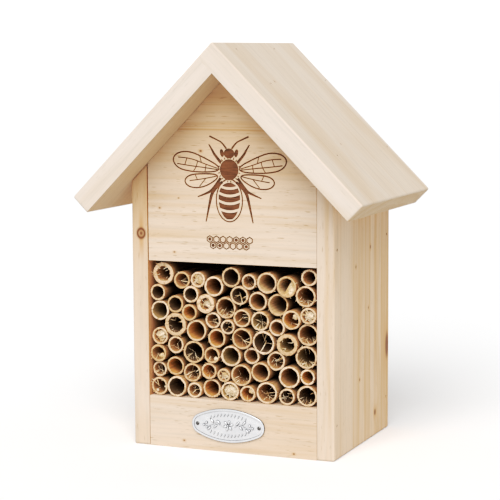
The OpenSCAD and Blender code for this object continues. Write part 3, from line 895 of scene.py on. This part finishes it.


# Each finish: its base colour, or the tones that the reed's own number picks from, then
# layers of (stretch, detail, roughness, from, to, share, colour). relief is the layer that
# also gives the bumps, and dark is (colour, share, depths) of the painted shade laid over
# what lies deep inside.
reedFinishes = {
    "reedSkin": dict(
        tone="reedTone", base=((0.46, 0.225, 0.088), (0.66, 0.385, 0.17)),
        layers=[((900, 40, 900), 4.0, 0.6, 0.35, 0.7, 0.7, (0.30, 0.125, 0.045)),
                ((300, 120, 300), 2.0, 0.5, 0.5, 0.75, 0.5, (0.20, 0.10, 0.04))],
        # painted shade, deepening towards black far into the gaps between the reeds
        dark=((0.022, 0.011, 0.006), 0.96, reeds["gapShadeDepths"]),
        finish=(0.6, 0.4, 0.0002, 0.25)),
    "reedRim": dict(
        tone="reedTone", base=((0.62, 0.385, 0.195), (0.88, 0.66, 0.45)),
        layers=[((1800, 600, 1800), 3.0, 0.65, 0.46, 0.68, 0.6, (0.40, 0.22, 0.09)),
                ((520, 300, 520), 3.0, 0.6, 0.50, 0.68, 0.8, (0.47, 0.255, 0.105))],
        finish=(0.75, 0.5, 0.0002, 0.25)),
    "reedBore": dict(
        tone="reedBoreShade",
        base=((0.12, 0.065, 0.030), (0.42, 0.27, 0.11), (0.56, 0.28, 0.11),
              (0.74, 0.34, 0.10), (0.82, 0.53, 0.27)),
        layers=[((1500, 60, 1500), 4.0, 0.6, 0.35, 0.7, 0.55, (0.22, 0.10, 0.04)),
                ((700, 260, 700), 3.0, 0.6, 0.60, 0.72, 0.5, (0.70, 0.48, 0.24))],
        # painted shade deep inside the bore
        dark=((0.045, 0.018, 0.008), 0.85, reeds["boreShadeDepths"]),
        finish=(0.7, 0.5, 0.0003, 0.2)),
    "reedFibre": dict(
        base=(0.93, 0.78, 0.55), relief=1,
        layers=[((220, 220, 220), 2.0, 0.5, 0.35, 0.65, 1.0, (0.62, 0.39, 0.17)),
                ((1400, 500, 1400), 3.0, 0.6, 0.45, 0.65, 0.75, (0.40, 0.23, 0.09))],
        finish=(0.7, 0.4, 0.0002, 0.3)),
}


def reedMaterial(name, base, layers, finish, tone=None, dark=None, relief=0):
    n = Nodes(name)
    place = n.place()
    colour, patterns = base, []
    if tone:
        picked = n.add("ShaderNodeAttribute", {}, "Fac", attribute_name=tone)
        steps = len(base) - 1
        colour = n.mix(picked, *base) if steps == 1 else n.ramp(
            picked, [(k / steps, each) for k, each in enumerate(base)])
    for scale, detail, roughness, low, high, share, tint in layers:
        pattern = n.cloud(n.stretch(place, scale), detail, roughness)
        patterns.append(pattern)
        colour = n.mix(n.span(pattern, low, high, 0, share), colour, tint)
    if dark:     # painted shade, more of it the deeper the place lies behind the front
        tint, share, depths = dark
        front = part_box("reed_course_1")[0].y
        depth = n.span(n.dot(place, (0, 1, 0)), front + depths[0], front + depths[1], 0, share)
        colour = n.mix(depth, colour, tint)
    rough, strength, bumps, gloss = finish
    return n.finish(colour, rough, patterns[relief], strength, bumps, Specular_IOR_Level=gloss)


def tubesOf(node):
    # each reed of a course as (x, z, outer radius, inner radius, front, back)
    bm = mergedCopy(node)
    found = []
    for island in islandsOf(bm):
        xs, ys, zs = ([v.co[k] for v in island] for k in range(3))
        x, z = (min(xs) + max(xs)) / 2, (min(zs) + max(zs)) / 2
        inner = min(math.hypot(v.co.x - x, v.co.z - z) for v in island)
        found.append((x, z, (max(xs) - min(xs)) / 2, inner, min(ys), max(ys)))
    bm.free()
    return sorted(found)


def reedTube(whole, reed, kind, shade, rng):
    x, z, outer, inner, front, back = reed
    if kind in ("pith", "pulp"):
        inner = outer - reeds["pithWall"]
    # over the rim, back along the skin, across the end and forwards along the bore
    profile = [(inner, 0.00025), (inner + 0.00012, 0.00004), (outer - 0.00030, 0),
               (outer - 0.00006, 0.00012), (outer, 0.0005), (outer, 0.004), (outer, 0.012),
               (outer, 0.030), (outer, back - front), (inner, back - front),
               (inner, 0.040), (inner, 0.018), (inner, 0.008), (inner, 0.003),
               (inner, 0.001), (inner, 0.00025)]
    bm = lathe(profile, (x, front, z), "back", reeds["steps"])
    tone = bm.verts.layers.float.new("reedTone")
    boreTone = bm.verts.layers.float.new("reedBoreShade")
    toneValue = rng.random()
    lean, tilt = (rng.uniform(-reeds["lean"], reeds["lean"]) for _ in range(2))
    squash, turn = rng.uniform(0.0, reeds["squash"]), rng.uniform(0, math.pi)
    seed = rng.uniform(0, 100)
    ragged = reeds["raggedRim"] * (1.8 if kind in ("pith", "pulp", "brush") else 1.0)

    def uneven(angle, scale, along):
        # a pattern that closes on itself round the reed
        return noise.noise(Vector((math.cos(angle) * scale, math.sin(angle) * scale, along)))

    for v in bm.verts:
        dx, dz, deep = v.co.x - x, v.co.z - z, v.co.y - front
        radius, angle = math.hypot(dx, dz), math.atan2(dz, dx)
        isInner = radius < (inner + outer) / 2
        change = 1 - squash * math.sin(angle - turn) ** 2
        if isInner:
            change += reeds["boreWaves"] * uneven(angle, 2.2, deep * 90 + seed)
            if kind in ("pith", "pulp") and deep < 0.004:
                change += reeds["pithWaves"] * uneven(angle, 5, deep * 500 + seed)
        near = max(0.0, 1 - deep / 0.003)
        rim = uneven(angle, 3, seed) + 0.6 * uneven(angle, 9, seed)
        if deep < 0.0006:
            fray = uneven(angle, 7, seed + 9) + 0.7 * uneven(angle, 17, seed)
            change += fray * reeds["frayed"] / radius * (-1 if isInner else 1)
        v.co.x, v.co.z = x + dx * change, z + dz * change
        v.co.y += near * (abs(rim) * ragged * 2 + lean * dx + tilt * dz)
        v[tone] = toneValue
        v[boreTone] = boreShade[shade]
    for f in bm.faces:
        at = f.calc_center_median()
        radius, deep = math.hypot(at.x - x, at.z - z), at.y - front
        onRim = inner * 0.93 < radius < outer - 0.00002 and f.normal.y < -0.25
        if deep < reeds["rimDepth"] and onRim:
            f.material_index = 1
        else:
            f.material_index = 0 if radius > (inner + outer) / 2 else 2
    addTo(whole, bm)


def addFibres(whole, bm):
    for f in bm.faces:
        f.material_index = 3
    addTo(whole, bm)


def sliver(whole, start, middle, end, width, rng):
    # a loose fibre that bends from start past middle to end
    bm = bmesh.new()
    bmesh.ops.create_grid(bm, x_segments=5, y_segments=1, size=0.5)
    roll = rng.uniform(0, math.pi)
    for v in bm.verts:
        t, side = v.co.x + 0.5, v.co.y
        at = start.lerp(middle, t).lerp(middle.lerp(end, t), t)
        along = (middle.lerp(end, t) - start.lerp(middle, t)).normalized()
        across = along.orthogonal().normalized()
        across.rotate(Matrix.Rotation(roll + t * reeds["twist"], 3, along))
        v.co = at + across * side * width * (1.0 - reeds["taper"] * t * t)
    bmesh.ops.solidify(bm, geom=list(bm.faces), thickness=reeds["fibre"])
    faceOutwards(bm)
    addFibres(whole, bm)


def crumple(whole, place, size, rng, depth=0.6, fine=2):
    # a wad of pith
    bm = bmesh.new()
    bmesh.ops.create_icosphere(bm, subdivisions=fine, radius=1)
    seed = rng.uniform(0, 50)
    for v in bm.verts:
        ridge = noise.noise(v.co * 1.7 + Vector((seed, 0, 0)))
        ridge += 0.5 * noise.noise(v.co * 4.1 + Vector((0, seed, 0)))
        ridge += 0.3 * noise.noise(v.co * 9.3 + Vector((0, 0, seed)))
        v.co *= 1 + 0.45 * ridge
        v.co.y *= depth
    scaleBy(bm, (size, size, size))
    moveBy(bm, place)
    addFibres(whole, bm)


# Loose fibres in each kind of mouth: how many, from and to which degrees round it, how wide,
# how deep they start, and how far they reach across.
looseFibres = {
    "strips": [(2, 190, 350, (0.0003, 0.0006), 0.004, (0.7, 1.4)),
               (3, 0, 360, (0.00015, 0.0003), 0.006, (0.4, 1.1))],
    "tangle": [(7, 0, 360, (0.00015, 0.0004), 0.006, (0.4, 1.3)),
               (2, 200, 340, (0.0003, 0.0006), 0.003, (0.3, 0.8))],
    "fringe": [(2, 0, 360, (0.00015, 0.0003), 0.004, (0.4, 1.1))],
    "brush": [(2, 0, 360, (0.00015, 0.0003), 0.004, (0.4, 1.1))],
    "wad": [(11, 0, 360, (0.0002, 0.0006), 0.0015, (0.4, 1.3))],
    "pulp": [(11, 0, 360, (0.0002, 0.0006), 0.0015, (0.4, 1.3))],
    "chunk": [(3, 0, 360, (0.0002, 0.0004), 0.003, (0.4, 1.1))],
    "speck": [(3, 0, 360, (0.0002, 0.0005), 0.004, (0.5, 1.2))],
    "pith": [(7, 0, 360, (0.0002, 0.0005), 0.002, (0.15, 0.6))],
    "split": [(3, 200, 330, (0.0005, 0.0010), 0.001, (0.6, 1.3))],
}
fringes = {"fringe": (8, 16), "brush": (11, 13)}     # how many fibres, and degrees apart
wadDepth = {"wad": 0.0016, "pulp": 0.003}


def flap(whole, x, z, front, inner):
    # a torn skin that half closes a mouth
    bm = bmesh.new()
    bmesh.ops.create_circle(bm, cap_ends=True, segments=28, radius=1)
    sliceOff(bm, (0.02, 0, 0), (0.86, -0.5, 0), clear_inner=True)
    bmesh.ops.triangulate(bm, faces=bm.faces)
    bmesh.ops.subdivide_edges(bm, edges=bm.edges, cuts=3, use_grid_fill=True)
    for v in bm.verts:
        away = 0.86 * v.co.x - 0.5 * v.co.y
        crease = noise.noise(Vector((v.co.x * 2.2, v.co.y * 2.2, 4.0)))
        v.co = Vector((x + v.co.x * inner * 0.985,
                       front + 0.0008 + 0.0022 * (1 - away) + 0.0009 * crease,
                       z + v.co.y * inner * 0.985))
    bmesh.ops.solidify(bm, geom=list(bm.faces), thickness=0.0003)
    faceOutwards(bm)
    addFibres(whole, bm)


def fillMouth(whole, reed, kind, rng):
    x, z, outer, inner, front, _ = reed
    if kind in ("pith", "pulp"):
        inner = outer - reeds["pithWall"]

    def wall(degrees, deep, share=1.0):
        a = math.radians(degrees)
        return Vector((x + inner * share * math.cos(a), front + deep,
                       z + inner * share * math.sin(a)))

    def loose(count, low, high, width, deep, reach):
        for _ in range(count):
            a = rng.uniform(low, high)
            start = wall(a, rng.uniform(0.0003, deep), 0.99)
            far = wall(a + rng.uniform(-50, 50), rng.uniform(-0.0006, deep * 0.6),
                       1 - rng.uniform(*reach))
            bend = start.lerp(far, 0.5) + Vector((rng.uniform(-1, 1), rng.uniform(-1, 1),
                                                   rng.uniform(-1, 1))) * inner * 0.14
            sliver(whole, start, bend, far, rng.uniform(*width), rng)

    for _ in range(rng.choice((0, 2, 3, 5))):     # hairs torn out of the skin by the saw
        a = rng.uniform(0, 360)
        start = wall(a, 0.0004, outer / inner * 0.985)
        far = wall(a + rng.uniform(-9, 9), rng.uniform(-0.0008, 0.0006),
                   (outer + rng.uniform(0.0003, 0.0013)) / inner)
        sliver(whole, start, start.lerp(far, 0.5), far, rng.uniform(0.00014, 0.00030), rng)
    if kind in fringes:
        count, apart = fringes[kind]
        for k in range(count):
            a = 205 + apart * k + rng.uniform(-8, 8)
            start = wall(a, rng.uniform(0.0002, 0.0012), 0.99)
            far = wall(a + rng.uniform(-30, 30), rng.uniform(-0.0002, 0.0045),
                       1 - rng.uniform(0.18, 0.62))
            bend = start.lerp(far, 0.5) + Vector((0, -0.0002, 0))
            sliver(whole, start, bend, far, rng.uniform(0.00018, 0.00042), rng)
    elif kind in wadDepth:
        crumple(whole, (x, front + wadDepth[kind] + inner * 0.35, z), inner * 0.80, rng, 0.5, 3)
    elif kind == "chunk":
        crumple(whole, wall(rng.choice((305, 40, 320)), 0.0018, 0.66), inner * 0.42, rng, 0.7)
    elif kind == "speck":
        for _ in range(3):
            crumple(whole, wall(rng.uniform(0, 360), rng.uniform(0.001, 0.003), 0.8),
                    inner * rng.uniform(0.10, 0.22), rng, 0.8, 1)
    elif kind == "flap":
        flap(whole, x, z, front, inner)
    for fibres in looseFibres.get(kind, ()):
        loose(*fibres)
    if kind == "split":
        crumple(whole, wall(-40, 0.0006, 0.9), inner * 0.35, rng, 0.6)


def makeReeds():
    materials = [reedMaterial(name, **look) for name, look in reedFinishes.items()]
    for course, (kinds, shades) in enumerate(zip(mouths, bores), 1):
        node = f"reed_course_{course}"
        rng = random.Random(40 + course)
        whole = bmesh.new()
        looks = zip(kinds.split() + ["clean"] * 9, shades.split() + ["brown"] * 9)
        for reed, (kind, shade) in zip(tubesOf(node), looks):
            reedTube(whole, reed, kind, shade, rng)
            fillMouth(whole, reed, kind, rng)
        newPiece(camel(node), whole, materials, node, angle=50)
    print("reeds made", flush=True)


makeReeds()


plate = {
    "width": 0.045, "height": 0.0195, "end": 0.006,     # the oval, and the radius of its ends
    "steps": 144,
    "relief": 0.00062,      # how far the ornament stands up
    "field": 0.0006,        # thickness of the plate inside its rim
}


def metalMaterial(name, bright, dull, low, high, scratch=0.12, flankShade=None, metal=1.0):
    n = Nodes(name)
    place = n.place()
    smear = n.cloud(n.stretch(place, (90, 90, 220)), 3.0, 0.6)
    lines = n.cloud(n.stretch(place, (120, 3000, 3000)), 3.0, 0.6)
    colour = n.mix(n.span(smear, 0.3, 0.75), bright, dull)
    if flankShade:       # painted shade on the steep flanks of the relief and the rim
        flat = n.span(n.maths("ABSOLUTE", n.facing((0, 1, 0))), 0.62, 0.975)
        colour = n.mix(flat, flankShade, colour)
    rough = n.span(smear, 0.3, 0.7, low, high, smooth=False)
    return n.finish(colour, rough, lines, scratch, 0.00008, Metallic=metal)


def ovalReach(angle, wide, high, end):
    # distance from the middle to the edge of an oval made of four arcs
    c, s = abs(math.cos(angle)), abs(math.sin(angle))
    reach = wide / 2 - end
    side = (reach * reach + high * high / 4 - end * end) / (2 * (high / 2 - end))
    meet = reach * side / (side - end)
    t = reach * c + math.sqrt(max(0, (reach * c) ** 2 - reach * reach + end * end))
    if t * c >= meet:
        return t
    k = side - high / 2
    return -k * s + math.sqrt((k * s) ** 2 - k * k + side * side)


def makePlate():
    low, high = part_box("nameplate")
    x, z, back = (low.x + high.x) / 2, (low.z + high.z) / 2, high.y
    thick, field = high.y - low.y, plate["field"]
    rings = [(0, 0), (0, thick * 0.72), (0.00010, thick * 0.90), (0.00035, thick),
             (0.00095, thick * 0.98), (0.00122, thick * 0.90), (0.00142, field * 1.03),
             (0.00200, field), (0.0040, field * 1.05)]
    bm = bmesh.new()
    made = bmesh.ops.create_circle(bm, cap_ends=False, segments=plate["steps"], radius=1)

    def lay(angles, inset, rise):
        for v, angle in angles.items():
            reach = ovalReach(angle, plate["width"] - 2 * inset,
                              plate["height"] - 2 * inset, plate["end"] - inset)
            v.co = (x + reach * math.cos(angle), back - rise, z + reach * math.sin(angle))

    lay({v: math.atan2(v.co.y, v.co.x) for v in made["verts"]}, *rings[0])
    edges = list(bm.edges)
    bmesh.ops.holes_fill(bm, edges=edges)
    for inset, rise in rings[1:]:
        made = bmesh.ops.extrude_edge_only(bm, edges=edges)
        verts = [g for g in made["geom"] if isinstance(g, bmesh.types.BMVert)]
        edges = [g for g in made["geom"] if isinstance(g, bmesh.types.BMEdge)]
        lay({v: math.atan2(v.co.z - z, v.co.x - x) for v in verts}, inset, rise)
    bmesh.ops.holes_fill(bm, edges=edges)
    bmesh.ops.recalc_face_normals(bm, faces=bm.faces)

    def bump(dx, dz, long, wide, turn, rise=1.0):
        blob = bmesh.new()
        bmesh.ops.create_icosphere(blob, subdivisions=2, radius=1)
        scaleBy(blob, (long / 2000, plate["relief"] * rise, wide / 2000))
        turnAbout(blob, -turn, "Y")
        moveBy(blob, (x + dx / 1000, back - field, z + dz / 1000))
        addTo(bm, blob)

    # a flower between two leafy sprigs, and a rope of slanted ribs above and below
    for k in range(6):
        a = math.radians(60 * k + 15)
        bump(2.0 * math.cos(a), 2.0 * math.sin(a), 2.9, 1.7, 60 * k + 15, 1.0)
    bump(0, 0, 1.6, 1.6, 0, 1.5)
    for side in (-1, 1):
        for k in range(4):
            dx = 5.0 + 2.0 * k
            dz = 0.9 * math.sin(k * 1.3)
            bump(side * dx, dz, 2.4, 0.62, side * 30 * math.cos(k * 1.3), 0.8)
            up = 1 if k % 2 == 0 else -1
            bump(side * (dx + 0.9), dz + up * 1.7, 3.3, 1.6, side * up * 44, 1.15)
        for dx, dz in ((13.4, 1.0), (15.0, -0.4), (13.2, -1.7)):
            bump(side * dx, dz, 1.8, 1.8, 0, 1.3)
        for k in range(11):
            t = (k - 5) / 5
            bump(10.8 * t, side * (6.05 - 1.9 * t * t), 2.3, 0.78, 62, 1.0)
    newPiece("embossedPlate", bm, [metalMaterial(
        "plateAluminium", (0.95, 0.96, 0.98), (0.80, 0.81, 0.84), 0.22, 0.42, 0.10,
        # the nearly black colour here is painted shade for the steep flanks
        (0.05, 0.052, 0.06), 0.6)],
        "nameplate", angle=40)


def makePins():
    low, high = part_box("nameplate_pins")
    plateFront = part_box("nameplate")[1].y - plate["field"]
    bm = bmesh.new()
    headRadius, shank = (high.z - low.z) / 2, 0.00065
    for side in (-1, 1):
        x = (low.x + high.x) / 2 + side * ((high.x - low.x) / 2 - headRadius)
        length = high.y - plateFront
        profile = [(0, 0.00052), (0.00045, 0.00048), (0.00085, 0.00034), (0.00112, 0.00014),
                   (headRadius, 0), (shank, -0.00002), (shank, 0.0008 - length),
                   (0, -length)]     # a domed head on a thin shank
        addTo(bm, lathe(profile, (x, plateFront, (low.z + high.z) / 2), "front", 24))
    newPiece("nameplatePins", bm, [metalMaterial(
        "pinSteel", (0.16, 0.155, 0.15), (0.08, 0.075, 0.07), 0.4, 0.6)],
        "nameplate_pins")


makePlate()
makePins()
print("nameplate made")


hanger = {
    "edge": 0.00025,
    "keyhole": 0.0055,       # from the middle of the plate to each end's centre
    "roundEnd": 0.0045, "slot": 0.0022,      # radii
    "shank": 0.0014,         # radius of a screw under its head
    "crossWide": 0.0008, "crossLong": 0.0034, "crossDeep": 0.0011,
}


def makeHanger():
    low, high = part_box("hanger_plate")
    screwLow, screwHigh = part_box("hanger_screws")
    steelPlate = metalMaterial("hangerZinc", (0.62, 0.62, 0.63), (0.42, 0.42, 0.44), 0.28, 0.5)
    headRadius = (screwHigh.x - screwLow.x) / 2
    places = [screwLow.z + headRadius, screwHigh.z - headRadius]
    # keyhole: a round end below and a slot above it, cut through the plate
    middle = (low.z + high.z) / 2
    roundAt, slotAt = middle - hanger["keyhole"], middle + hanger["keyhole"]
    slot, shank = hanger["slot"], hanger["shank"]
    thick = high.y - low.y
    cutters = [rod("keyhole", radius, thick * 3, (0, (low.y + high.y) / 2, z))
               for z, radius in ((roundAt, hanger["roundEnd"]), (slotAt, slot))]
    cutters.append(meshFrom(block((-slot, low.y - thick, roundAt),
                                  (slot, high.y + thick, slotAt)), "keyhole"))
    for z in places:
        bm = lathe([(0, 0.001), (headRadius + 0.001, 0.001),
                    (shank, -thick), (shank, -0.01), (0, -0.01)], (0, high.y, z), "back", 32)
        cutters.append(meshFrom(bm, "sink"))
    bm = carve(easeEdges(block(low, high), hanger["edge"], 2), cutters)
    newPiece("hangerPlate", bm, [steelPlate], "hanger_plate")
    # countersunk screws with a cross recess
    whole = bmesh.new()
    for k, z in enumerate(places):
        length = screwHigh.y - screwLow.y
        bm = lathe([(0, -0.00012), (headRadius * 0.8, -0.00010), (headRadius * 0.96, -0.0002),
                    (headRadius * 0.97, -0.0003), (shank, -thick), (0.0013, -0.0055),
                    (0.0011, -length * 0.8), (0, -length)], (0, high.y, z), "back", 32)
        cuts = []
        for quarter in (0, 1):
            c = block((-hanger["crossLong"] / 2, -hanger["crossDeep"], -hanger["crossWide"] / 2),
                      (hanger["crossLong"] / 2, 0.001, hanger["crossWide"] / 2))
            turnAbout(c, 90 * quarter + 25 + 40 * k, "Y")
            moveBy(c, (0, high.y, z))
            cuts.append(meshFrom(c, "cross"))
        addTo(whole, carve(bm, cuts))
    newPiece("hangerScrews", whole, [metalMaterial(
        "screwZinc", (0.70, 0.68, 0.60), (0.50, 0.48, 0.42), 0.25, 0.45)],
        "hanger_screws")


def finishNails():
    nailSteel = metalMaterial("nailSteel", (0.30, 0.27, 0.24), (0.16, 0.14, 0.12), 0.45, 0.65)
    for node in outwardOf:
        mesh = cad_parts[node].data
        mesh.materials.clear()
        mesh.materials.append(nailSteel)


makeHanger()
finishNails()
print("hanger and nails made")

print("all pieces made")
